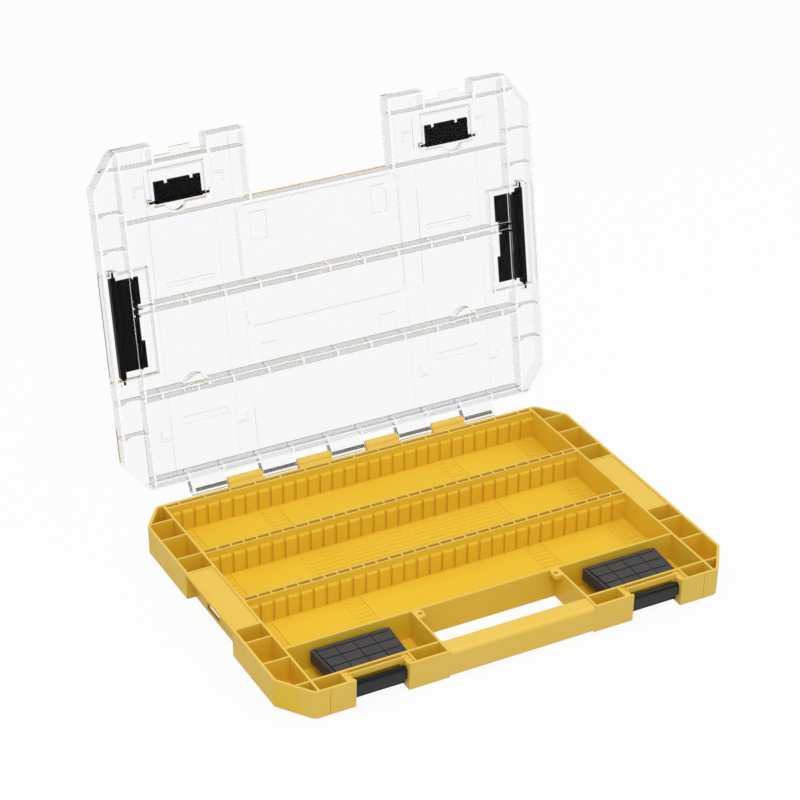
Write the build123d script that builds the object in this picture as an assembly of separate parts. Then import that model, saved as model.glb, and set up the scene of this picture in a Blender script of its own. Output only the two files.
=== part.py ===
from build123d import *
import os
from math import radians, tan

# Accessory case: a shallow moulded tray with three long compartments and two bays, and a clear
# hinged lid. Millimetres. X runs along the hinge, -Y is the handle side, +Z is up. The origin is
# the centre of the tray's underside. The lid is stored open, as it rests against its stop.

# Overall size.
case_length = 355.0
case_depth = 255.4
tray_height = 23.5
lid_depth = 12.7
rim_gap = 0.3

# Corners in plan: how far each chamfer runs along the long and the short side.
front_corner_x = 18.0
front_corner_y = 25.0
back_corner_x = 16.5
back_corner_y = 22.2
corner_radius = 7.0
corner_groove_from_end = 29.5
corner_groove_width = 0.4
corner_groove_depth = 0.35

# Tray walls.
outer_wall = 2.0
inner_wall = 1.7
web_thickness = 1.4
floor_thickness = 1.5
skirt_rise = 2.0
draft_angle = 1.0
foot_chamfer = 0.8

# Compartments, the double walls between them and the slots that hold loose divider plates.
end_cell_width = 22.5
compartment_count = 3
divider_width = 5.5
divider_skin = 1.2
back_gap = 2.8
back_web_pitch = 20.6
slot_pitch = 10.3
slot_width = 1.9
panel_depth = 1.2
panel_drop = 5.0
panel_slope = 2.0

# Bays beside the handle, and the row of cells in front of them.
bay_width = 38.5
front_cell_depth = 13.0

# Flat pad half-way along each end, and the webs between the cells beside it, as shares of the
# half depth of the case.
pad_front = -39.0
pad_back = 38.5
pad_thickness = 2.2
pad_sink = 0.7
pad_radius = 3.0
back_web_shares = (0.4503, 0.6617, 0.8379)
front_web_shares = (0.4385, 0.65, 0.8927)

# Recess under each pad and the slot in its wall that a side catch hooks into.
recess_depth = 7.0
catch_slot_length = 20.0
catch_slot_height = 5.5
catch_slot_base = 4.5
catch_slot_centre = 8.0

# Handle.
handle_gap_length = 115.0
handle_gap_width = 37.5
handle_drop = 0.8
handle_lift = 2.6
handle_wall = 2.2
handle_radius = 3.2
handle_foot_radius = 1.5
handle_seam = 0.3
handle_cell_count = 6
loop_length = 9.0
loop_width = 6.0
loop_height = 3.0
loop_hole = 1.6
loop_radius = 2.9

# Front latches.
latch_from_end = 68.7
latch_opening = 40.0
latch_cheek = 4.7
latch_cheek_drop = 1.6
latch_side_gap = 0.6
latch_axis_inset = 5.4
latch_axis_drop = 7.5
latch_barrel = 2.9
latch_pin = 1.6
latch_pin_length = 3.4
latch_plate = 2.3
latch_reach = 12.8
latch_front_gap = 0.3
latch_shoulder_drop = 0.4
latch_face_drop = 6.0
latch_face_bevel = 1.2
latch_edge_bevel = 0.8
latch_hook = 1.9
latch_hook_gap = 0.35
latch_hook_overlap = 1.3
latch_hook_foot = 0.6
latch_hook_bevel = 1.2
latch_scoop = 1.2
latch_tab = 2.5
cross_bar_gap = 3.4
cross_bar = 1.4
cross_bar_height = 4.4
cross_boss_width = 2.6
cross_boss_height = 6.4

# Hinge. The knuckles are numbered from the middle: even ones are the lid's, odd ones the tray's.
hinge_setback = 7.9
hinge_drop = 0.5
hinge_margin = 48.125
knuckle_count = 9
lid_knuckles = (-4, -2, 0, 2, 4)
tray_knuckles = (-3, -1, 1, 3)
knuckle_radius = 3.5
knuckle_gap = 0.8
knuckle_arm_height = 9.0
knuckle_arm_tangent = (1.05, 3.15)
lid_arm_low = (2.8, 2.1)
lid_arm_high = (1.75, 3.01)
rod_radius = 1.1
rod_end_cover = 3.0
pivot_clearance = 0.05
end_float = 0.3
open_angle = 100.7

# Lid.
lid_wall = 2.0
lid_panel = 1.8
lid_rib = 1.5
lid_divider_width = 7.0
lid_web_pitch = 28.5
lid_web_arch = 5.0
lid_arm_height = 7.0
lid_ledge_length = 5.5
lid_ledge_thickness = 1.6
lid_catch_length = 16.0
notch_clearance = 0.4

# Lowered bands in the lid's top beside the front latches, with raised angles in their corners,
# and the marks moulded into the panel. Places along X are measured from the latch's centre.
panel_step = 0.5
inner_band = (-41.8, -26.8)
outer_band = 25.7
angle_places = (-35.8, 34.2)
angle_share = 0.76
angle_leg = 7.5
angle_width = 1.5
frame_half_length = 66.0
frame_front = 6.5
frame_back = 100.0
frame_radius = 6.0
frame_groove = 0.8
frame_groove_depth = 0.3
patch_x = (43.0, 56.0)
patch_rows = ((13.5, 34.5), (114.5, 130.5))
patch_depth = 0.6
bar_x = (-20.8, 17.2)
bar_rows = ((52.5, 55.5), (156.5, 161.5))
bar_depth = 0.4

# Recesses in the lid's top and the pieces that pivot in them.
top_clearance = 0.2
pocket_wall = 1.5
pocket_clearance = 0.4
socket_cover = 0.8
clip_from_bay = 9.5
clip_shift = 1.0
clip_width = 36.0
clip_length = 14.5
clip_thickness = 2.2
clip_barrel = 1.9
clip_pin = 1.2
clip_pin_length = 5.4
clip_notch = 3.0
clip_notch_depth = 2.5
clip_notch_places = (-11.3, 8.7)
clip_pocket_width = 41.0
clip_pocket_front = 23.0
clip_pocket_back = 3.5
scoop_radius = 8.5
scoop_shift = 3.2
rear_scoop_radius = 9.5
rear_scoop_depth = 6.0
side_axis_inset = 9.5
side_catch_width = 20.5
side_catch_step = 2.5
side_catch_step_y = (-12.0, 16.0)
side_catch_front = -36.0
side_catch_back = 40.0
side_catch_end_inset = 3.5
side_catch_thickness = 1.6
side_catch_offset = 2.4
side_barrel = 2.2
side_pin = 1.3
side_pin_length = 4.5
side_ridge = 1.2
side_ridge_distance = 11.5
side_ridge_width = 3.0
side_ridge_side_gap = 1.0
side_pocket_inner = 27.0
side_pocket_outer = 3.0
side_pocket_end_gap = 1.5

# Loose divider plates, stacked flat in the bays on two low ribs.
plates_per_stack = 6
stack_shift = 0.9
stack_rib = 1.6
stack_rib_height = 7.8
stack_rib_place = 22.0
plate_sheet = 1.2
plate_pad = 0.5
plate_tongue = 2.6
plate_tongue_thickness = 0.9
plate_clearance = 0.4
plate_taper = 2.0
plate_margin = 1.5
plate_columns = 4
plate_column_groove = 0.55
plate_row_places = (4.4, 14.2, 24.0)
plate_row_groove = 1.0

# Places worked out from the sizes above.
half_length = case_length / 2
half_depth = case_depth / 2
rim = tray_height
lid_base = rim + rim_gap
lid_top = rim + lid_depth
cell_floor = skirt_rise + floor_thickness
compartment_half = half_length - end_cell_width
back_edge = outer_wall + back_gap + inner_wall
back_face = half_depth - back_edge
compartment_row = case_depth - back_edge - front_cell_depth - 2 * inner_wall - bay_width
compartment_width = (compartment_row - (compartment_count - 1) * divider_width) / compartment_count
compartments = []
face = back_face
for number in range(compartment_count):
    compartments.append((face - compartment_width, face))
    face -= compartment_width + divider_width
front_face = compartments[-1][0]
bay_back = front_face - inner_wall
bay_front = bay_back - bay_width
bay_wall_front = bay_front - inner_wall
bay_middle = (bay_front + bay_back) / 2
handle_half = handle_gap_length / 2
bay_inner = handle_half + inner_wall
handle_back = bay_back - handle_gap_width
hinge_y = half_depth + hinge_setback
hinge_z = rim - hinge_drop
knuckle_pitch = (case_length - 2 * hinge_margin) / knuckle_count
latch_centre = half_length - latch_from_end
latch_y = -half_depth + latch_axis_inset
latch_z = rim - latch_axis_drop
latch_end = latch_z - latch_reach
latch_hook_height = 2 * latch_z - latch_end - lid_base - lid_ledge_thickness - latch_hook_gap
recess_wall = half_length - recess_depth
clip_axis_y = bay_back - clip_from_bay
clip_centre = latch_centre + clip_shift
clip_z = lid_top - top_clearance - clip_barrel
side_x = half_length - side_axis_inset
side_z = lid_top - top_clearance - side_catch_thickness - side_catch_offset
rod_half = (knuckle_count * knuckle_pitch - knuckle_gap) / 2 - rod_end_cover
plate_length = compartment_width - 2 * plate_clearance
plate_height = lid_top - lid_panel - floor_thickness - plate_clearance
plate_thickness = plate_sheet + plate_pad
stack_centre = (bay_inner + compartment_half) / 2 + stack_shift
stack_base = floor_thickness + stack_rib_height
back_webs = [share * half_depth for share in back_web_shares]
front_webs = [-share * half_depth for share in front_web_shares]
slot_count = int(2 * compartment_half / slot_pitch) - 1
slot_places = [slot_pitch * (i - (slot_count - 1) / 2) for i in range(slot_count)]
over = 1.0


def block(x, y, z):
    """Box between the low and high bound given for each axis."""
    bounds = (x, y, z)
    centre = [(low + high) / 2 for low, high in bounds]
    size = [abs(high - low) for low, high in bounds]
    return Pos(*centre) * Box(*size)


def both_sides(shapes):
    """The given shapes and their mirror images at the other end of the case."""
    return [*shapes, *[mirror(shape, about=Plane.YZ) for shape in shapes]]


def prism(points, x):
    """Prism along X between two bounds, from the points (y, z) of its section."""
    section = Plane.YZ.offset(x[0]) * make_face(Polyline(*points, close=True))
    return extrude(section, amount=x[1] - x[0])


def rod_along_x(x, y, z, radius):
    """Round bar along X between two bounds."""
    return Pos((x[0] + x[1]) / 2, y, z) * Rot(0, 90, 0) * Cylinder(radius, x[1] - x[0])


def rod_along_y(x, y, z, radius):
    """Round bar along Y between two bounds."""
    return Pos(x, (y[0] + y[1]) / 2, z) * Rot(90, 0, 0) * Cylinder(radius, y[1] - y[0])


def case_outline(inset):
    """Plan of the case with its four chamfered and rounded corners, moved in by an inset."""
    front = -half_depth
    points = [
        (-half_length + front_corner_x, front),
        (half_length - front_corner_x, front),
        (half_length, front + front_corner_y),
        (half_length, half_depth - back_corner_y),
        (half_length - back_corner_x, half_depth),
        (-half_length + back_corner_x, half_depth),
        (-half_length, half_depth - back_corner_y),
        (-half_length, front + front_corner_y),
    ]
    plan = make_face(Polyline(*points, close=True))
    plan = fillet(plan.vertices(), corner_radius)
    return offset(plan, amount=-inset) if inset else plan


def spans(edges, thickness):
    """Clear spans between walls of one thickness centred on the given places."""
    places = sorted(edges)
    return [(a + thickness / 2, b - thickness / 2) for a, b in zip(places, places[1:])]


def compartment_pocket(low, high):
    """Hollow of one compartment: sloped panel tops, then a slot between each pair of panels."""
    slope_top = rim - panel_drop
    slope_foot = slope_top - panel_slope
    section = [
        (low + panel_depth, floor_thickness),
        (high - panel_depth, floor_thickness),
        (high - panel_depth, slope_foot),
        (high, slope_top),
        (high, rim + over),
        (low, rim + over),
        (low, slope_top),
        (low + panel_depth, slope_foot),
    ]
    tools = [prism(section, (-compartment_half, compartment_half))]
    for x in slot_places:
        sides = (x - slot_width / 2, x + slot_width / 2)
        tools.append(block(sides, (low, low + 2 * panel_depth), (floor_thickness, slope_top)))
        tools.append(block(sides, (high - 2 * panel_depth, high), (floor_thickness, slope_top)))
    return tools


def divider_cells(low, high):
    """Narrow cells inside a double wall, one between each pair of slots."""
    width = (low + divider_skin, high - divider_skin)
    edges = [-compartment_half, *slot_places, compartment_half]
    depth = (floor_thickness, rim + over)
    return [block(span, width, depth) for span in spans(edges, web_thickness)]


def rim_cells():
    """Cells round the edge of the tray, between its outer wall and its inner walls."""
    depth = (cell_floor, rim + over)
    inner_end = compartment_half + inner_wall
    rows = spans([pad_back, *back_webs, half_depth], web_thickness)
    rows += spans([pad_front, *front_webs, -half_depth], web_thickness)
    cells = both_sides([block((inner_end, half_length), row, depth) for row in rows])
    back_row = (back_face + inner_wall, half_depth)
    count = 2 * int(compartment_half / back_web_pitch) + 1
    places = [back_web_pitch * (i - (count - 1) / 2) for i in range(count)]
    edges = [-compartment_half, *places, compartment_half]
    cells += [block(span, back_row, depth) for span in spans(edges, web_thickness)]
    front_row = (-half_depth, bay_wall_front)
    post = latch_opening / 2 + latch_cheek + web_thickness
    front_edges = ((bay_inner, latch_centre - post), (latch_centre + post, compartment_half))
    cells += both_sides([block(edge, front_row, depth) for edge in front_edges])
    inside = extrude(Pos(0, 0, cell_floor) * case_outline(outer_wall), amount=rim + over - cell_floor)
    return [cell & inside for cell in cells]


def corner_groove():
    """Fine upright groove in the front face where a corner begins."""
    x = half_length - corner_groove_from_end
    lean = rim * tan(radians(draft_angle))
    section = [
        (-half_depth - over, 0),
        (-half_depth + lean + corner_groove_depth, 0),
        (-half_depth + corner_groove_depth, rim),
        (-half_depth + corner_groove_depth, rim + over),
        (-half_depth - over, rim + over),
    ]
    return prism(section, (x - corner_groove_width / 2, x + corner_groove_width / 2))


def latch_notch():
    """Cuts for one front latch: the open notch, the shelves over its pivots and the pivot bore."""
    low = latch_centre - latch_opening / 2
    high = latch_centre + latch_opening / 2
    pin = latch_pin + pivot_clearance
    reach = latch_pin_length + latch_side_gap + end_float
    shelf = (rim - latch_cheek_drop, rim + over)
    shelf_y = (-half_depth + outer_wall, bay_wall_front)
    return [
        block((low, high), (-half_depth - over, bay_wall_front), (-over, rim + over)),
        block((low - latch_cheek, low + over), shelf_y, shelf),
        block((high - over, high + latch_cheek), shelf_y, shelf),
        rod_along_x((low - reach, high + reach), latch_y, latch_z, pin),
    ]


def side_recess():
    """Cuts under one pad: the recess open to the outside, the hollow behind it and its slot."""
    under_pad = rim - pad_thickness
    row = (pad_front + web_thickness / 2, pad_back - web_thickness / 2)
    slot_x = (recess_wall - 2 * outer_wall, recess_wall + over)
    slot_y = (catch_slot_centre - catch_slot_length / 2, catch_slot_centre + catch_slot_length / 2)
    slot_z = (catch_slot_base, catch_slot_base + catch_slot_height)
    hollow_x = (compartment_half + inner_wall, recess_wall - outer_wall)
    pad_x = (compartment_half + inner_wall, half_length - outer_wall)
    pad = RectangleRounded(pad_x[1] - pad_x[0], row[1] - row[0], pad_radius)
    pad_place = Pos(sum(pad_x) / 2, sum(row) / 2, rim - pad_sink)
    return [
        block((recess_wall, half_length + over), row, (-over, under_pad)),
        block(hollow_x, row, (-over, under_pad)),
        block(slot_x, slot_y, slot_z),
        extrude(pad_place * pad, amount=pad_sink + over),
    ]


def handle_bar():
    """Carrying bar across the front: rounded section, hollow and ribbed from below."""
    top = rim - handle_drop
    front = -half_depth + handle_seam
    corners = [(front, handle_lift), (handle_back, handle_lift), (handle_back, top), (front, top)]
    section = make_face(Polyline(*corners, close=True))
    section = fillet(section.vertices().sort_by(Axis.Y)[2:], handle_radius)
    section = fillet(section.vertices().sort_by(Axis.Y)[:2], handle_foot_radius)
    bar = extrude(Plane.YZ * section, amount=handle_half + over, both=True)
    edges = [handle_half * (2 * i / handle_cell_count - 1) for i in range(handle_cell_count + 1)]
    hollow_y = (front + handle_wall, handle_back - handle_wall)
    hollow_z = (handle_lift - over, top - handle_wall)
    return bar - [block(span, hollow_y, hollow_z) for span in spans(edges, web_thickness)]


def gap_loop():
    """Small loop in a back corner of the handle's opening."""
    plan = RectangleRounded(loop_width, loop_length, loop_radius) - Circle(loop_hole)
    plan += Pos(loop_width / 4, 0) * Rectangle(loop_width / 2, loop_length) - Circle(loop_hole)
    place = Pos(handle_half - loop_width / 2, bay_back - loop_length / 2, rim - loop_height)
    return extrude(place * plan, amount=loop_height)


def knuckle(x, arm):
    """One barrel of the hinge with the arm that joins it to its moulding."""
    barrel = rod_along_x(x, hinge_y, hinge_z, knuckle_radius)
    return barrel + prism(arm, x)


def knuckle_span(place):
    """Length of the knuckle centred on a place along the hinge."""
    half = (knuckle_pitch - knuckle_gap) / 2
    return (place - half, place + half)


def latch_cross_bar():
    """Bar over one front latch, with a deeper rounded boss at each end."""
    y = (latch_y + cross_bar_gap, latch_y + cross_bar_gap + cross_bar)
    half = latch_opening / 2
    x = (latch_centre - half - over, latch_centre + half + over)
    shapes = [block(x, y, (rim - cross_bar_height, rim))]
    radius = cross_boss_width / 2
    foot = rim - cross_boss_height + radius
    for centre in (latch_centre - half + radius, latch_centre + half - radius):
        shapes.append(block((centre - radius, centre + radius), y, (foot, rim)))
        shapes.append(rod_along_y(centre, y, foot, radius))
    return shapes


def stack_ribs():
    """Low ribs on a bay's floor that carry its stack of divider plates."""
    row = (bay_front - over, bay_back + over)
    level = (floor_thickness - over, stack_base)
    places = (stack_centre - stack_rib_place, stack_centre + stack_rib_place)
    return [block((x - stack_rib / 2, x + stack_rib / 2), row, level) for x in places]


def tray():
    """Tray moulding with its walls, cells, slots, handle and half of the hinge."""
    height = rim - skirt_rise
    lower = case_outline(height * tan(radians(draft_angle)))
    body = extrude(Pos(0, 0, skirt_rise) * lower, amount=height, taper=-draft_angle)
    foot_end = compartment_half + inner_wall
    foot = block((-foot_end, foot_end), (bay_wall_front, back_face + inner_wall), (0, skirt_rise))
    foot = chamfer(foot.edges().group_by(Axis.Z)[0], foot_chamfer)
    body += foot
    tools = rim_cells()
    for low, high in compartments:
        tools += compartment_pocket(low, high)
    for (low, _), (_, high) in zip(compartments, compartments[1:]):
        tools += divider_cells(high, low)
    bay = block((bay_inner, compartment_half), (bay_front, bay_back), (floor_thickness, rim + over))
    tools += both_sides([bay, corner_groove(), *latch_notch(), *side_recess()])
    gap = (-handle_half, handle_half)
    tools.append(block(gap, (-half_depth - over, bay_back), (-over, rim + over)))
    body -= tools
    body += handle_bar()
    body += both_sides([*latch_cross_bar(), *stack_ribs(), gap_loop()])
    arm = [
        (half_depth - outer_wall / 2, hinge_z),
        (hinge_y, hinge_z),
        (hinge_y + knuckle_arm_tangent[0], hinge_z - knuckle_arm_tangent[1]),
        (half_depth - outer_wall / 2, rim - knuckle_arm_height),
    ]
    body += [knuckle(knuckle_span(i * knuckle_pitch), arm) for i in tray_knuckles]
    return body - rod_along_x((-half_length, half_length), hinge_y, hinge_z, rod_radius + pivot_clearance)


def hinge_rod():
    """Steel rod through all the knuckles."""
    return rod_along_x((-rod_half, rod_half), hinge_y, hinge_z, rod_radius)


def front_latch():
    """Front latch as it hangs open: deep upper face with two pins, plate, hook lip and scoop."""
    width = (-latch_opening / 2 + latch_side_gap, latch_opening / 2 - latch_side_gap)
    outer_face = latch_y + latch_axis_inset - latch_front_gap
    inner_face = outer_face - latch_plate
    deep_face = latch_y - latch_barrel
    face_end = latch_z - latch_face_drop
    end = latch_end
    plate = [
        (latch_y, latch_z + latch_barrel / 2),
        (outer_face, latch_z - latch_shoulder_drop),
        (outer_face, end + latch_edge_bevel),
        (outer_face - latch_edge_bevel, end),
        (inner_face - latch_hook_foot, end),
        (inner_face - latch_hook, end + latch_hook_bevel),
        (inner_face - latch_hook, end + latch_hook_height),
        (inner_face, end + latch_hook_height),
        (inner_face, face_end - latch_face_bevel),
        (deep_face + latch_face_bevel, face_end - latch_face_bevel),
        (deep_face, face_end),
        (deep_face, latch_z),
    ]
    latch = prism(plate, width) + rod_along_x(width, latch_y, latch_z, latch_barrel)
    half = width[1] - latch_tab
    radius = (half * half + latch_scoop * latch_scoop) / (2 * latch_scoop)
    scoop_y = (deep_face - over, outer_face + over)
    latch -= rod_along_y(0, scoop_y, end + latch_scoop - radius, radius)
    pins = (width[0] - latch_pin_length, width[1] + latch_pin_length)
    latch += rod_along_x(pins, latch_y, latch_z, latch_pin)
    return Pos(latch_centre, 0, 0) * latch


def divider_plate():
    """One loose divider plate lying flat: sheet, rows of pads and a thin tongue at both ends."""
    body_half = plate_length / 2 - plate_tongue
    side = plate_height / 2

    def tapered(half):
        corners = [(-half, side), (half, side), (half - plate_taper, -side), (plate_taper - half, -side)]
        return make_face(Polyline(*corners, close=True))

    sheet = extrude(tapered(body_half), amount=plate_thickness)
    tongue = extrude(tapered(plate_length / 2), amount=plate_tongue_thickness)
    level = (plate_sheet, plate_thickness + over)
    across = (-plate_length, plate_length)
    grooves = [block(across, (side - plate_margin, side + over), level)]
    half_groove = plate_row_groove / 2
    for place in plate_row_places:
        grooves.append(block(across, (side - place - half_groove, side - place + half_groove), level))
    half_groove = plate_column_groove / 2
    for i in range(1, plate_columns):
        x = body_half * (2 * i / plate_columns - 1)
        grooves.append(block((x - half_groove, x + half_groove), (-2 * side, 2 * side), level))
    return sheet + tongue - grooves


def lid_plan(inset):
    """Plan of the lid: the case's outline less the handle's opening and the latch notches."""
    plan = case_outline(0)
    outside = -half_depth - over
    plan -= Pos(0, (outside + bay_back) / 2) * Rectangle(handle_gap_length, bay_back - outside)
    notch = Rectangle(latch_opening + 2 * notch_clearance, bay_wall_front - outside)
    for side in (-1, 1):
        plan -= Pos(side * latch_centre, (outside + bay_wall_front) / 2) * notch
    return offset(plan, amount=-inset, kind=Kind.INTERSECTION) if inset else plan


def opened(shape):
    """Swings a piece of the closed lid up about the hinge rod to where the lid rests open."""
    return shape.rotate(Axis((0, hinge_y, hinge_z), (-1, 0, 0)), open_angle)


def lid_ribs():
    """Ribs under the panel, in line with the tray's walls, and the webs that join them."""
    height = (lid_base, lid_top - lid_panel / 2)
    half_rib = lid_rib / 2
    wall_x = compartment_half + inner_wall / 2
    back_y = back_face + inner_wall / 2
    inner = (-wall_x, wall_x)
    ribs = [block(inner, (back_y - half_rib, back_y + half_rib), height)]
    side = block((wall_x - half_rib, wall_x + half_rib), (-half_depth, half_depth), height)
    half_double = lid_divider_width / 2
    count = 2 * int(wall_x / lid_web_pitch)
    web_places = [lid_web_pitch * (i - count / 2) for i in range(count + 1)]
    for (low, _), (_, high) in zip(compartments, compartments[1:]):
        middle = (low + high) / 2
        ribs.append(block(inner, (middle - half_double, middle - half_double + lid_rib), height))
        ribs.append(block(inner, (middle + half_double - lid_rib, middle + half_double), height))
        row = (middle - half_double + half_rib, middle + half_double - half_rib)
        ribs += [block((x - half_rib, x + half_rib), row, height) for x in web_places]
    bay_x = (handle_half + half_rib, wall_x)
    bay_ribs = [front_face - inner_wall / 2, bay_front - inner_wall / 2]
    ribs += both_sides([side])
    for y in bay_ribs:
        ribs += both_sides([block(bay_x, (y - half_rib, y + half_rib), height)])
    web_x = (wall_x, half_length - lid_wall / 2)
    span_middle = (wall_x + half_rib + half_length - lid_wall) / 2
    half_span = (half_length - lid_wall - wall_x - half_rib) / 2 - lid_rib
    arch = (half_span**2 + lid_web_arch**2) / (2 * lid_web_arch)
    for y in (*back_webs[:-1], *front_webs):
        web = block(web_x, (y - half_rib, y + half_rib), height)
        web -= rod_along_y(span_middle, (y - over, y + over), lid_base + lid_web_arch - arch, arch)
        ribs += both_sides([web])
    rear_row = (back_y, half_depth - lid_wall / 2)
    for i in lid_knuckles:
        for x in knuckle_span(i * knuckle_pitch):
            ribs.append(block((x - half_rib, x + half_rib), rear_row, height))
    inside = extrude(Pos(0, 0, lid_base) * lid_plan(lid_wall / 2), amount=lid_depth)
    return [rib & inside for rib in ribs]


def clip_pocket():
    """Recess for one front clip: its shell under the panel with two sockets, and its cuts."""
    floor = clip_z - clip_barrel - pocket_clearance
    half = clip_pocket_width / 2
    rows = (clip_axis_y - clip_pocket_front, clip_axis_y + clip_pocket_back)
    x = (clip_centre - half, clip_centre + half)
    shell_x = (x[0] - pocket_wall, x[1] + pocket_wall)
    shell_y = (rows[0] - pocket_wall, rows[1] + pocket_wall)
    shell_z = (floor - pocket_wall, lid_top - lid_panel / 2)
    pin_end = clip_width / 2 + clip_pin_length + end_float
    socket_x = (clip_centre - pin_end - socket_cover, clip_centre + pin_end + socket_cover)
    socket_half = clip_pin + pocket_wall
    socket_y = (clip_axis_y - socket_half, clip_axis_y + socket_half)
    depth = lid_top - floor
    scoop_place = (clip_centre + scoop_shift, clip_axis_y)
    scoop_shell = Cylinder(scoop_radius + pocket_wall, shell_z[1] - shell_z[0])
    shells = [
        block(shell_x, shell_y, shell_z),
        block(socket_x, socket_y, shell_z),
        Pos(*scoop_place, sum(shell_z) / 2) * scoop_shell,
    ]
    cuts = [
        block(x, rows, (floor, lid_top + over)),
        Pos(*scoop_place, floor + (depth + over) / 2) * Cylinder(scoop_radius, depth + over),
        rod_along_x(
            (clip_centre - pin_end, clip_centre + pin_end), clip_axis_y, clip_z, clip_pin + pivot_clearance
        ),
    ]
    return shells, cuts


def rear_scoop():
    """Round finger recess in the lid's top, open towards the rear at a divider rib."""
    middle = (compartments[0][0] + compartments[1][1]) / 2 + lid_divider_width / 2
    floor = lid_top - rear_scoop_depth
    shell_z = (floor - pocket_wall, lid_top - lid_panel / 2)
    place = (clip_centre + scoop_shift, middle - pocket_wall)
    shell = Pos(*place, sum(shell_z) / 2) * Cylinder(rear_scoop_radius + pocket_wall, shell_z[1] - shell_z[0])
    cut = Pos(*place, (floor + lid_top + over) / 2) * Cylinder(rear_scoop_radius, lid_top + over - floor)
    beyond = Pos(place[0], middle + case_depth / 2, 0)
    shell -= beyond * Box(case_depth, case_depth, case_depth)
    cut -= beyond * Pos(0, -pocket_wall, 0) * Box(case_depth, case_depth, case_depth)
    return [shell], [cut]


def side_pocket():
    """Recess for one side catch: its shell under the panel with two sockets, and its cuts."""
    floor = side_z - side_barrel - pocket_clearance
    x = (side_x - side_pocket_inner, half_length - side_pocket_outer)
    y = (side_catch_front - side_pocket_end_gap, side_catch_back + side_pocket_end_gap)
    shell_z = (floor - pocket_wall, lid_top - lid_panel / 2)
    pin_end = side_pin_length + end_float
    socket_y = (side_catch_front - pin_end - socket_cover, side_catch_back + pin_end + socket_cover)
    socket_half = side_pin + pocket_wall
    shell_x = (x[0] - pocket_wall, half_length - lid_wall / 2)
    shells = [
        block(shell_x, (y[0] - pocket_wall, y[1] + pocket_wall), shell_z),
        block((side_x - socket_half, side_x + socket_half), socket_y, shell_z),
    ]
    bore_y = (side_catch_front - pin_end, side_catch_back + pin_end)
    cuts = [
        block(x, y, (floor, lid_top + over)),
        rod_along_y(side_x, bore_y, side_z, side_pin + pivot_clearance),
    ]
    return shells, cuts


def panel_marks():
    """Cuts in the lid's top: lowered bands, frame groove, shallow patches and thin bars."""
    rows = (-half_depth, half_depth + over)

    def sunk(x, y, depth):
        return block(x, y, (lid_top - depth, lid_top + over))

    band = (latch_centre + inner_band[0], latch_centre + inner_band[1])
    cuts = [sunk(band, rows, panel_step)]
    cuts.append(sunk((latch_centre + outer_band, half_length + over), rows, panel_step))
    cuts += [sunk(patch_x, (bay_back + low, bay_back + high), patch_depth) for low, high in patch_rows]
    bar = (latch_centre + bar_x[0], latch_centre + bar_x[1])
    cuts += [sunk(bar, (bay_back + low, bay_back + high), bar_depth) for low, high in bar_rows]
    length = 2 * frame_half_length
    width = frame_back - frame_front
    inner = RectangleRounded(length - 2 * frame_groove, width - 2 * frame_groove, frame_radius - frame_groove)
    ring = RectangleRounded(length, width, frame_radius) - inner
    place = Pos(0, bay_back + (frame_front + frame_back) / 2, lid_top - frame_groove_depth)
    return [*both_sides(cuts), extrude(place * ring, amount=frame_groove_depth + over)]


def band_angles():
    """Raised angles in the corners of the lowered bands, level with the panel."""
    level = (lid_top - panel_step - over / 2, lid_top)
    corner_y = angle_share * half_depth
    angles = []
    for offset_x, inward in zip(angle_places, (1, -1)):
        corner_x = latch_centre + offset_x
        for side in (-1, 1):
            x = sorted((corner_x, corner_x + inward * angle_leg))
            y = sorted((side * corner_y, side * (corner_y - angle_width)))
            angles.append(block(x, y, level))
            x = sorted((corner_x, corner_x + inward * angle_width))
            y = sorted((side * corner_y, side * (corner_y - angle_leg)))
            angles.append(block(x, y, level))
    return both_sides(angles)


def lid():
    """Clear lid moulding in its closed place."""
    body = extrude(Pos(0, 0, lid_base) * lid_plan(0), amount=lid_top - lid_base)
    hollow_height = lid_top - lid_panel - lid_base
    body -= extrude(Pos(0, 0, lid_base) * lid_plan(lid_wall), amount=hollow_height)
    shells = lid_ribs()
    cuts = []
    for added, cut in (clip_pocket(), rear_scoop(), side_pocket()):
        shells += both_sides(added)
        cuts += both_sides(cut)
    notch_half = latch_opening / 2 + notch_clearance
    ledge_z = (lid_base, lid_base + lid_ledge_thickness)
    ledge_y = (bay_wall_front - lid_ledge_length, bay_wall_front + lid_wall / 2)
    catch_x = (latch_centre - lid_catch_length / 2, latch_centre + lid_catch_length / 2)
    hook_tip = latch_y - latch_axis_inset + latch_front_gap + latch_plate + latch_hook
    catch_y = (hook_tip - latch_hook_overlap, bay_wall_front)
    ledge_half = notch_half + over / 2
    ledge = block((latch_centre - ledge_half, latch_centre + ledge_half), ledge_y, ledge_z)
    shells += both_sides([ledge, block(catch_x, catch_y, ledge_z)])
    arm = [
        (half_depth - lid_wall / 2, lid_base),
        (half_depth, lid_base),
        (hinge_y - lid_arm_low[0], hinge_z - lid_arm_low[1]),
        (hinge_y + lid_arm_high[0], hinge_z + lid_arm_high[1]),
        (half_depth, lid_base + lid_arm_height),
        (half_depth - lid_wall / 2, lid_base + lid_arm_height),
    ]
    shells += [knuckle(knuckle_span(i * knuckle_pitch), arm) for i in lid_knuckles]
    body += shells
    bore = rod_half + end_float
    cuts.append(rod_along_x((-bore, bore), hinge_y, hinge_z, rod_radius + pivot_clearance))
    return body - [*cuts, *panel_marks()] + band_angles()


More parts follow.
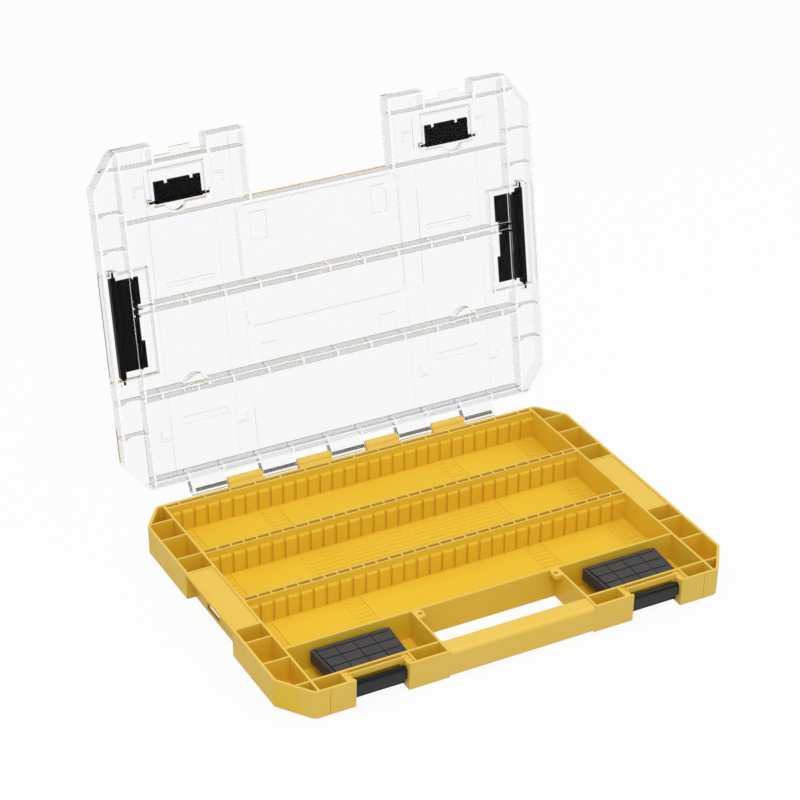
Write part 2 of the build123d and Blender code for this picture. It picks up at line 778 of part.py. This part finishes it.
def lid_clip():
    """Clip that lies in the front recess of the closed lid: notched plate, barrel and pins."""
    top = lid_top - top_clearance
    half = clip_width / 2
    x = (clip_centre - half, clip_centre + half)
    front = clip_axis_y - clip_length
    clip = block(x, (front, clip_axis_y), (top - clip_thickness, top))
    clip += rod_along_x(x, clip_axis_y, clip_z, clip_barrel)
    for place in clip_notch_places:
        notch_x = (clip_centre + place - clip_notch / 2, clip_centre + place + clip_notch / 2)
        clip -= block(notch_x, (front - over, front + clip_notch_depth), (clip_z - over, lid_top))
    pin_x = (x[0] - clip_pin_length, x[1] + clip_pin_length)
    return clip + rod_along_x(pin_x, clip_axis_y, clip_z, clip_pin)


def side_catch():
    """Catch that lies in the side recess of the closed lid: plate, ridge, barrel and pins."""
    top = lid_top - top_clearance
    under = top - side_catch_thickness
    y = (side_catch_front, side_catch_back)
    plate_y = (side_catch_front + side_catch_end_inset, side_catch_back - side_catch_end_inset)
    inner = side_x - side_catch_width
    catch = block((inner, side_x), plate_y, (under, top))
    catch -= block((inner - over, inner + side_catch_step), side_catch_step_y, (under - over, top + over))
    catch += block((side_x - side_barrel, side_x + side_barrel), y, (side_z, top))
    catch += rod_along_y(side_x, y, side_z, side_barrel)
    ridge_x = side_x - side_ridge_distance
    ridge_half = catch_slot_length / 2 - side_ridge_side_gap
    ridge_section = [
        (ridge_x - side_ridge_width / 2, under),
        (ridge_x + side_ridge_width / 2, under),
        (ridge_x, under - side_ridge),
    ]
    face = Plane.XZ * make_face(Polyline(*ridge_section, close=True))
    ridge = Pos(0, catch_slot_centre, 0) * extrude(face, amount=ridge_half, both=True)
    pin_y = (y[0] - side_pin_length, y[1] + side_pin_length)
    return catch + ridge + rod_along_y(side_x, pin_y, side_z, side_pin)


def write(shape, name):
    """Saves one piece under its name."""
    export_step(shape, f"parts/{name}.step")


def write_pair(shape, name):
    """Saves a piece of the right-hand end and its mirror image."""
    write(shape, f"{name}_right")
    write(mirror(shape, about=Plane.YZ), f"{name}_left")


def main():
    os.makedirs("parts", exist_ok=True)
    write(tray(), "tray")
    write(hinge_rod(), "hinge_rod")
    write(opened(lid()), "lid")
    write_pair(front_latch(), "front_latch")
    write_pair(opened(lid_clip()), "lid_clip")
    write_pair(opened(side_catch()), "side_catch")
    plate = divider_plate()
    for number in range(plates_per_stack):
        level = stack_base + number * plate_thickness
        placed = Pos(stack_centre, bay_middle, level) * plate
        write_pair(placed, f"divider_plate_{number + 1}")


main()
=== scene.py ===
import math

import bmesh
import bpy
from mathutils import Matrix, Vector


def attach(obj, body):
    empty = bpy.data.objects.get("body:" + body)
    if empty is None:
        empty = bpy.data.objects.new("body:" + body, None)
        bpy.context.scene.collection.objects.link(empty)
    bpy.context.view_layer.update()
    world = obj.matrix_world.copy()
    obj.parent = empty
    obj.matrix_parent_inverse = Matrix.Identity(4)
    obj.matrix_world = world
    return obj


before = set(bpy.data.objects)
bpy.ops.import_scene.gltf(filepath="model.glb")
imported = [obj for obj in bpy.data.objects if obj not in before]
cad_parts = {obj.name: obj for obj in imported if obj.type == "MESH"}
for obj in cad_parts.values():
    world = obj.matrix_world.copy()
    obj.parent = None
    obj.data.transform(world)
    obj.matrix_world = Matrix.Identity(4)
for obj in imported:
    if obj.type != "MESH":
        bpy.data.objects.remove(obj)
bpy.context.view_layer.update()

# Looks of the accessory case: yellow tray, clear lid, black latches and dark divider plates.
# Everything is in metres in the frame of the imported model: +X along the hinge, -Y towards the
# handle, +Z up, with the tray's underside at height 0. Only the places of the floors, ridges
# and panels are given in millimetres, and become metres where their meshes are made.

MM = 0.001

# Camera: where it looks, from how far and from which side, as read from the photograph, and how
# far it can see.
CAMERA_LENS = 114.7
CAMERA_TARGET = Vector((71.635, 183.762, 23.2)) * MM
CAMERA_DISTANCE = 2000.44 * MM
CAMERA_TURN = math.radians(-28.856)
CAMERA_LIFT = math.radians(30.183)
CAMERA_ROLL = math.radians(1.0)
SENSOR_WIDTH = 36.0
CAMERA_REACH = 20.0

# Studio: the room is white at eye level and below, and greyer overhead, which draws the edges
# of the clear lid. Only what mirrors or lets light through sees that room. The floor glows
# white to the camera and takes a light shadow.
FLOOR_SIZE = 6.0
FLOOR_PAINT = (0.62, 0.62, 0.62)
FLOOR_GLOW = 0.94
WHITE = (1.0, 1.0, 1.0)
ROOM_LIGHT = 0.70
OVERHEAD_GREY = 0.14
OVERHEAD_FROM = 0.0
OVERHEAD_TO = 0.5

# Lamps: place, side of the square and power. Both look at the middle of the tray.
KEY_LAMP = ((-0.45, -0.8, 1.7), 1.2, 17.0)
FILL_LAMP = ((1.2, 0.1, 1.3), 1.0, 5.0)
LAMP_AIM = Vector((0.0, 0.0, 0.02))

# Finishes, as linear colours. The tray takes on a share of its darker shade in the flow marks.
# It has a painted sheen, paler where light glances off it, which sets in over a range of heights
# and another towards the front, and which the flow marks lessen by a share.
TRAY_YELLOW = (0.79, 0.52, 0.034)
TRAY_SHADE = (0.77, 0.48, 0.024)
TRAY_PAINTED_SHEEN = (0.77, 0.52, 0.088)
FLOW_SHADE = 0.45
FLOW_LOSS = 0.3
SHEEN_HEIGHT = (21.8 * MM, 22.7 * MM)
SHEEN_FRONT = (-115.0 * MM, -121.0 * MM)
LATCH_BLACKS = ((0.006, 0.006, 0.0065), (0.011, 0.011, 0.0115))
# The catches take a darker, duller copy of the latches' black plastic: painted shade.
CATCH_SHADED_BLACKS = ((0.0025, 0.0025, 0.0025), (0.0045, 0.0045, 0.0045))
LATCH_SHINE = 0.35
CATCH_SHINE = 0.05
PLATE_GREY = (0.045, 0.042, 0.043)
PLATE_DUST = (0.068, 0.064, 0.065)
# Painted shade down in the grooves of the plates, and how far it reaches.
PLATE_GROOVE_SHADE = (0.008, 0.007, 0.006)
GROOVE_SHADE_REACH = 1.6 * MM
STEEL = (0.55, 0.55, 0.56)
STEEL_DARK = (0.40, 0.40, 0.41)

# Clear plastic: its colour face on, and the painted shade that greys it at a slant, how
# faintly it mirrors, and the share of the light that falls through it onto other pieces.
CLEAR = (0.93, 0.93, 0.93)
CLEAR_SLANT_SHADE = (0.72, 0.72, 0.725)
CLEAR_GLANCE = (0.02, 0.02, 0.02)
CLEAR_PASS = 0.9

# How round the edges of the mouldings look, and how deep their grain is.
EDGE_ROUNDING = 0.35 * MM
CLEAR_ROUNDING = 0.6 * MM
GRAIN_DEPTH = 0.06 * MM
FINE_GRAIN_DEPTH = 0.05 * MM

# Floors of the three compartments: their lowest and highest Y in millimetres, and their height.
FLOORS = {"back": (60.2, 121.2), "middle": (-6.3, 54.7), "front": (-72.8, -11.8)}
FLOOR_HEIGHT = 1.5 * MM

# Low ridges moulded on those floors in rows along Y: their sizes, and the lowest and highest X
# of each patch in millimetres. The end and inner patches are at both ends of the case. The long
# patch is on the middle floor only, which has no inner ones.
RIDGE_WIDTH = 1.5 * MM
RIDGE_HEIGHT = 0.8 * MM
RIDGE_PITCH = 4.8 * MM
RIDGE_COUNT = 11
RIDGE_SIDES = 16
END_PATCH = (138.5, 154.0)
INNER_PATCH = (69.0, 81.0)
LONG_PATCH = (-80.0, 80.0)

# Low flat panels raised between the ridges: their lowest and highest X in millimetres, height,
# slope of the edges, and distance in millimetres from the floor's long sides. The middle floor
# has no panel at its centre.
PANEL_SPANS = ((-137.0, -82.5), (-67.5, 67.5), (82.5, 137.0))
PANEL_HEIGHT = 0.3 * MM
PANEL_SLOPE = 0.4 * MM
PANEL_MARGIN = 2.2


class Value:
    """A shader socket that takes part in plain arithmetic: each step becomes a Math node."""

    def __init__(self, nodes, socket):
        self.nodes = nodes
        self.socket = socket

    def step(self, operation, first, second):
        return self.nodes.node("ShaderNodeMath", {"operation": operation}, {0: first, 1: second})

    def __add__(self, other):
        return self.step("ADD", self, other)

    def __radd__(self, other):
        return self.step("ADD", other, self)

    def __sub__(self, other):
        return self.step("SUBTRACT", self, other)

    def __rsub__(self, other):
        return self.step("SUBTRACT", other, self)

    def __mul__(self, other):
        return self.step("MULTIPLY", self, other)

    def __rmul__(self, other):
        return self.step("MULTIPLY", other, self)

    def __or__(self, other):
        return self.step("MAXIMUM", self, other)


class Nodes:
    """A node tree under construction."""

    def __init__(self, tree):
        self.tree = tree

    def node(self, kind, settings=None, inputs=None, output=0):
        """Adds a node, with its settings first and then its sockets' values or links."""
        made = self.tree.nodes.new(kind)
        for name, value in (settings or {}).items():
            setattr(made, name, value)
        for key, value in (inputs or {}).items():
            if isinstance(value, Value):
                self.tree.links.new(value.socket, made.inputs[key])
            else:
                made.inputs[key].default_value = value
        return Value(self, made.outputs[output])

    def fade(self, value, low, high, start=0.0, end=1.0):
        """Goes smoothly from start to end as the value goes from low to high."""
        settings = {"interpolation_type": "SMOOTHSTEP"}
        inputs = {"Value": value, "From Min": low, "From Max": high, "To Min": start, "To Max": end}
        return self.node("ShaderNodeMapRange", settings, inputs, "Result")

    def part(self, vector, axis):
        """One coordinate of a vector."""
        return self.node("ShaderNodeSeparateXYZ", {}, {"Vector": vector}, axis)

    def ray(self, kind):
        """1 for the kind of ray that is named, otherwise 0."""
        return self.node("ShaderNodeLightPath", output=f"Is {kind} Ray")


class Finish(Nodes):
    """A node material under construction, with its principled shader."""

    def __init__(self, name):
        self.material = bpy.data.materials.new(name)
        self.material.use_nodes = True
        super().__init__(self.material.node_tree)
        self.shader = self.tree.nodes["Principled BSDF"]

    def set(self, **inputs):
        """Sets sockets of the principled shader: underscores in a name stand for spaces."""
        for name, value in inputs.items():
            socket = self.shader.inputs[name.replace("_", " ")]
            if isinstance(value, Value):
                self.tree.links.new(value.socket, socket)
            else:
                socket.default_value = value

    def place(self):
        """Position on the piece, in metres."""
        return self.node("ShaderNodeTexCoord", output="Object")

    def noise(self, lumps, detail=2.0, roughness=0.5):
        """Noise from 0 to 1 with about so many lumps in a metre."""
        inputs = {"Vector": self.place(), "Scale": lumps, "Detail": detail, "Roughness": roughness}
        return self.node("ShaderNodeTexNoise", {}, inputs, "Fac")

    def blend(self, factor, first, second):
        """Mix of two colours."""
        inputs = {0: factor, 6: colour(first), 7: colour(second)}
        return self.node("ShaderNodeMix", {"data_type": "RGBA"}, inputs, 2)

    def soft_edges(self, radius):
        """Normal with the edges of the mesh rounded off."""
        return self.node("ShaderNodeBevel", {"samples": 4}, {"Radius": radius}, "Normal")

    def grain(self, lumps, strength, depth):
        """Normal with softened edges and a fine grain."""
        inputs = {
            "Height": self.noise(lumps),
            "Strength": strength,
            "Distance": depth,
            "Normal": self.soft_edges(EDGE_ROUNDING),
        }
        return self.node("ShaderNodeBump", {}, inputs, "Normal")


def colour(value):
    """A colour in the form that sockets take. A colour that comes from a node stays as it is."""
    return value if isinstance(value, Value) else (*value, 1.0)


def tray_plastic():
    """Yellow moulded plastic: satin, with faint flow marks, and a painted sheen that makes it paler
    at the top and towards the front.
    """
    finish = Finish("tray_plastic")
    flow = finish.fade(finish.noise(lumps=14.0, detail=3.0), low=0.35, high=0.7)
    moulded = finish.blend(flow * FLOW_SHADE, TRAY_YELLOW, TRAY_SHADE)
    front = finish.part(finish.place(), "Y")
    height = finish.part(finish.place(), "Z")
    # Painted sheen: paler colour near the top of the tray and towards its front, where light
    # glances off it.
    sheen_mask = finish.fade(height, *SHEEN_HEIGHT) | finish.fade(front, *SHEEN_FRONT)
    painted_sheen = sheen_mask * (1.0 - flow * FLOW_LOSS)
    smear = finish.noise(lumps=60.0, detail=4.0, roughness=0.6)
    finish.set(
        Base_Color=finish.blend(painted_sheen, moulded, TRAY_PAINTED_SHEEN),
        Roughness=finish.fade(smear, low=0.3, high=0.7, start=0.36, end=0.48),
        Normal=finish.grain(lumps=2600.0, strength=0.12, depth=GRAIN_DEPTH),
        Specular_IOR_Level=0.3,
        IOR=1.49,
    )
    return finish.material


def clear_plastic():
    """Clear moulded plastic with a trace of haze, and painted shade that greys it at a slant.
    Light passes through it to the other pieces."""
    finish = Finish("clear_plastic")
    haze = finish.noise(lumps=45.0, detail=4.0, roughness=0.6)
    facing = finish.node("ShaderNodeLayerWeight", {}, {"Blend": 0.5}, "Facing")
    # Painted shade: the colour goes greyer where the surface is seen at a slant.
    slant = finish.fade(facing, low=0.3, high=0.7)
    mirrored = finish.ray("Glossy") * (1.0 - finish.ray("Transmission"))
    lighting = finish.ray("Shadow") | finish.ray("Diffuse") | mirrored
    finish.set(
        Base_Color=finish.blend(slant, CLEAR, CLEAR_SLANT_SHADE),
        Roughness=finish.fade(haze, low=0.35, high=0.75, start=0.03, end=0.08),
        Transmission_Weight=1.0,
        Normal=finish.soft_edges(CLEAR_ROUNDING),
        Alpha=1.0 - lighting * CLEAR_PASS,
        Specular_Tint=colour(CLEAR_GLANCE),
        IOR=1.52,
    )
    return finish.material


def black_plastic(name, blacks, shine):
    """Black plastic with a dull shine: two shades of black, and how strongly it mirrors."""
    finish = Finish(name)
    smear = finish.noise(lumps=90.0, detail=3.0, roughness=0.55)
    finish.set(
        Base_Color=finish.blend(smear, *blacks),
        Roughness=finish.fade(smear, low=0.3, high=0.7, start=0.26, end=0.4),
        Normal=finish.grain(lumps=2200.0, strength=0.1, depth=FINE_GRAIN_DEPTH),
        Specular_IOR_Level=shine,
    )
    return finish.material


def plate_plastic():
    """Dark grey plastic of the loose divider plates, with painted shade down in their grooves."""
    finish = Finish("plate_plastic")
    patch = finish.noise(lumps=120.0, detail=3.0)
    face = finish.blend(patch, PLATE_GREY, PLATE_DUST)
    settings = {"samples": 8, "only_local": True}
    reach = {"Distance": GROOVE_SHADE_REACH}
    # Painted shade: ambient occlusion darkens the colour in the grooves.
    openness = finish.node("ShaderNodeAmbientOcclusion", settings, reach, "AO")
    finish.set(
        Base_Color=finish.blend(finish.fade(openness, low=0.5, high=1.0), PLATE_GROOVE_SHADE, face),
        Roughness=finish.fade(patch, low=0.3, high=0.7, start=0.4, end=0.52),
        Normal=finish.grain(lumps=1800.0, strength=0.15, depth=GRAIN_DEPTH),
    )
    return finish.material


def rod_steel():
    """Drawn steel of the hinge rod."""
    finish = Finish("rod_steel")
    draw = finish.noise(lumps=700.0)
    finish.set(
        Base_Color=finish.blend(draw, STEEL, STEEL_DARK),
        Metallic=1.0,
        Roughness=finish.fade(draw, low=0.3, high=0.7, start=0.25, end=0.38),
    )
    return finish.material


def dress_nodes(tray):
    """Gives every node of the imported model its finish."""
    clear = clear_plastic()
    latches = black_plastic("latch_plastic", LATCH_BLACKS, LATCH_SHINE)
    # The catches and the other small pieces get the darker copy of the black, as painted shade.
    shaded_catches = black_plastic("catch_plastic_shaded", CATCH_SHADED_BLACKS, CATCH_SHINE)
    plates = plate_plastic()
    steel = rod_steel()
    for name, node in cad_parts.items():
        finish = shaded_catches
        if name == "tray":
            finish = tray
        elif name == "lid":
            finish = clear
        elif name == "hinge_rod":
            finish = steel
        elif name.startswith("divider_plate"):
            finish = plates
        elif name.startswith("front_latch"):
            finish = latches
        for slot in node.material_slots:
            slot.material = finish


def ridge_row(material):
    """Geometry Nodes that lay a row of low rounded ridges along Y, each a bar along X."""
    tree = bpy.data.node_groups.new("ridge_row", "GeometryNodeTree")
    tree.interface.new_socket("Geometry", in_out="OUTPUT", socket_type="NodeSocketGeometry")
    for name in ("Length", "Width", "Height", "Pitch"):
        tree.interface.new_socket(name, in_out="INPUT", socket_type="NodeSocketFloat")
    tree.interface.new_socket("Count", in_out="INPUT", socket_type="NodeSocketInt")
    nodes = Nodes(tree)
    sizes = tree.nodes.new("NodeGroupInput")
    length, width, height, pitch, count = (Value(nodes, socket) for socket in sizes.outputs[:5])
    step = nodes.node("ShaderNodeCombineXYZ", {}, {"Y": pitch})
    first = nodes.node("ShaderNodeCombineXYZ", {}, {"Y": (1.0 - count) * pitch * 0.5})
    size = nodes.node("ShaderNodeCombineXYZ", {}, {"X": length, "Y": width, "Z": height * 2.0})
    line = {"Count": count, "Start Location": first, "Offset": step}
    row = nodes.node("GeometryNodeMeshLine", {}, line, "Mesh")
    unit = {"Vertices": RIDGE_SIDES, "Radius": 0.5, "Depth": 1.0}
    bar = nodes.node("GeometryNodeMeshCylinder", {}, unit, "Mesh")
    turn = {"Geometry": bar, "Rotation": (0.0, math.pi / 2, 0.0)}
    lying = nodes.node("GeometryNodeTransform", {}, turn, "Geometry")
    ridge = nodes.node("GeometryNodeTransform", {}, {"Geometry": lying, "Scale": size}, "Geometry")
    copies = {"Points": row, "Instance": ridge}
    placed = nodes.node("GeometryNodeInstanceOnPoints", {}, copies, "Instances")
    real = nodes.node("GeometryNodeRealizeInstances", {}, {"Geometry": placed}, "Geometry")
    dress = {"Geometry": real, "Material": material}
    dressed = nodes.node("GeometryNodeSetMaterial", {}, dress, "Geometry")
    output = tree.nodes.new("NodeGroupOutput")
    tree.links.new(dressed.socket, output.inputs[0])
    return tree


def ridge_patch(tree, span, row):
    """Mesh of one patch of ridges between two places along X, centred across its floor."""
    carrier = bpy.data.objects.new("ridge_patch", bpy.data.meshes.new("ridge_patch"))
    bpy.context.scene.collection.objects.link(carrier)
    modifier = carrier.modifiers.new("ridges", "NODES")
    modifier.node_group = tree
    sizes = {
        "Length": (span[1] - span[0]) * MM,
        "Width": RIDGE_WIDTH,
        "Height": RIDGE_HEIGHT,
        "Pitch": RIDGE_PITCH,
        "Count": RIDGE_COUNT,
    }
    for item in tree.interface.items_tree:
        if item.in_out == "INPUT":
            modifier[item.identifier] = sizes[item.name]
    bpy.context.view_layer.update()
    evaluated = carrier.evaluated_get(bpy.context.evaluated_depsgraph_get())
    mesh = bpy.data.meshes.new_from_object(evaluated)
    bpy.data.objects.remove(carrier)
    middle = Vector((sum(span) / 2 * MM, sum(row) / 2 * MM, FLOOR_HEIGHT))
    mesh.transform(Matrix.Translation(middle))
    return mesh


def raised_panel(shape, span, row):
    """Adds a low flat panel with sloping edges to the mesh of the floors."""
    rings = []
    for inset, height in ((0.0, 0.0), (PANEL_SLOPE, PANEL_HEIGHT)):
        left, right = span[0] * MM + inset, span[1] * MM - inset
        front = (row[0] + PANEL_MARGIN) * MM + inset
        back = (row[1] - PANEL_MARGIN) * MM - inset
        corners = ((left, front), (right, front), (right, back), (left, back))
        rings.append([shape.verts.new((x, y, FLOOR_HEIGHT + height)) for x, y in corners])
    lower, upper = rings
    shape.faces.new(upper)
    shape.faces.new(lower[::-1])
    for i in range(4):
        j = (i + 1) % 4
        shape.faces.new((lower[i], lower[j], upper[j], upper[i]))


def at_both_ends(span):
    """A span along X and its mirror image at the other end of the case."""
    return [span, (-span[1], -span[0])]


def floor_marks(material):
    """Ridges and raised panels on the floors of the compartments, as one piece of the tray."""
    tree = ridge_row(material)
    shape = bmesh.new()
    for name, row in FLOORS.items():
        patches = at_both_ends(END_PATCH)
        panels = PANEL_SPANS
        if name == "middle":
            patches.append(LONG_PATCH)
            panels = (PANEL_SPANS[0], PANEL_SPANS[-1])
        else:
            patches += at_both_ends(INNER_PATCH)
        for span in patches:
            shape.from_mesh(ridge_patch(tree, span, row))
        for span in panels:
            raised_panel(shape, span, row)
    mesh = bpy.data.meshes.new("floor_marks")
    shape.to_mesh(mesh)
    shape.free()
    mesh.materials.clear()
    mesh.materials.append(material)
    marks = bpy.data.objects.new("floor_marks", mesh)
    bpy.context.scene.collection.objects.link(marks)
    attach(marks, "tray")


def floor_finish():
    """White floor that keeps the object's shadow and lights the object plainly."""
    finish = Finish("studio_floor")
    seen = finish.ray("Camera") * FLOOR_GLOW | finish.ray("Glossy") | finish.ray("Transmission")
    glow = finish.node("ShaderNodeEmission", {}, {"Color": colour(WHITE)})
    plain = Value(finish, finish.shader.outputs[0])
    mixed = finish.node("ShaderNodeMixShader", {}, {0: seen, 1: plain, 2: glow})
    finish.tree.links.new(mixed.socket, finish.tree.nodes["Material Output"].inputs["Surface"])
    finish.set(Base_Color=colour(FLOOR_PAINT), Roughness=0.6)
    return finish.material


def studio_floor():
    """Flat floor that reaches far past the object on every side."""
    mesh = bpy.data.meshes.new("studio_floor")
    half = FLOOR_SIZE / 2
    corners = [(-half, -half, 0.0), (half, -half, 0.0), (half, half, 0.0), (-half, half, 0.0)]
    mesh.from_pydata(corners, [], [(0, 1, 2, 3)])
    mesh.materials.append(floor_finish())
    floor = bpy.data.objects.new("studio_floor", mesh)
    bpy.context.scene.collection.objects.link(floor)


def room_light():
    """Plain light from all round, and the white room that the clear and shiny pieces show."""
    world = bpy.data.worlds.new("studio")
    bpy.context.scene.world = world
    world.use_nodes = True
    room = Nodes(world.node_tree)
    upward = room.part(room.node("ShaderNodeTexCoord", output="Generated"), "Z")
    overhead = room.fade(upward, OVERHEAD_FROM, OVERHEAD_TO, start=1.0, end=OVERHEAD_GREY)
    through = room.ray("Glossy") | room.ray("Transmission")
    plain = (1.0 - through) * ROOM_LIGHT + through * overhead
    light = {"Color": colour(WHITE), "Strength": plain | room.ray("Camera")}
    background = room.node("ShaderNodeBackground", {}, light)
    room.tree.links.new(background.socket, room.tree.nodes["World Output"].inputs["Surface"])


def lamp(name, place, size, power):
    """Square soft lamp aimed at the tray."""
    light = bpy.data.lights.new(name, "AREA")
    light.size = size
    light.energy = power
    lamp_object = bpy.data.objects.new(name, light)
    lamp_object.location = place
    aim = LAMP_AIM - Vector(place)
    lamp_object.rotation_euler = aim.to_track_quat("-Z", "Y").to_euler()
    bpy.context.scene.collection.objects.link(lamp_object)


def studio():
    """Floor, room light and lamps."""
    studio_floor()
    room_light()
    lamp("key", *KEY_LAMP)
    lamp("fill", *FILL_LAMP)


def camera():
    """Camera at the photograph's viewing angle."""
    back = Vector((
        math.sin(CAMERA_TURN) * math.cos(CAMERA_LIFT),
        -math.cos(CAMERA_TURN) * math.cos(CAMERA_LIFT),
        math.sin(CAMERA_LIFT),
    ))
    level = (-back).cross(Vector((0, 0, 1))).normalized()
    upright = level.cross(-back)
    right = math.cos(CAMERA_ROLL) * level + math.sin(CAMERA_ROLL) * upright
    up = math.cos(CAMERA_ROLL) * upright - math.sin(CAMERA_ROLL) * level
    view = Matrix((right, up, back)).transposed().to_4x4()
    view.translation = CAMERA_TARGET + back * CAMERA_DISTANCE
    data = bpy.data.cameras.new("camera")
    data.lens = CAMERA_LENS
    data.sensor_width = SENSOR_WIDTH
    data.clip_end = CAMERA_REACH
    camera_object = bpy.data.objects.new("camera", data)
    camera_object.matrix_world = view
    bpy.context.scene.collection.objects.link(camera_object)
    bpy.context.scene.camera = camera_object


bpy.context.scene.view_settings.view_transform = "Standard"
yellow = tray_plastic()
dress_nodes(yellow)
floor_marks(yellow)
studio()
camera()
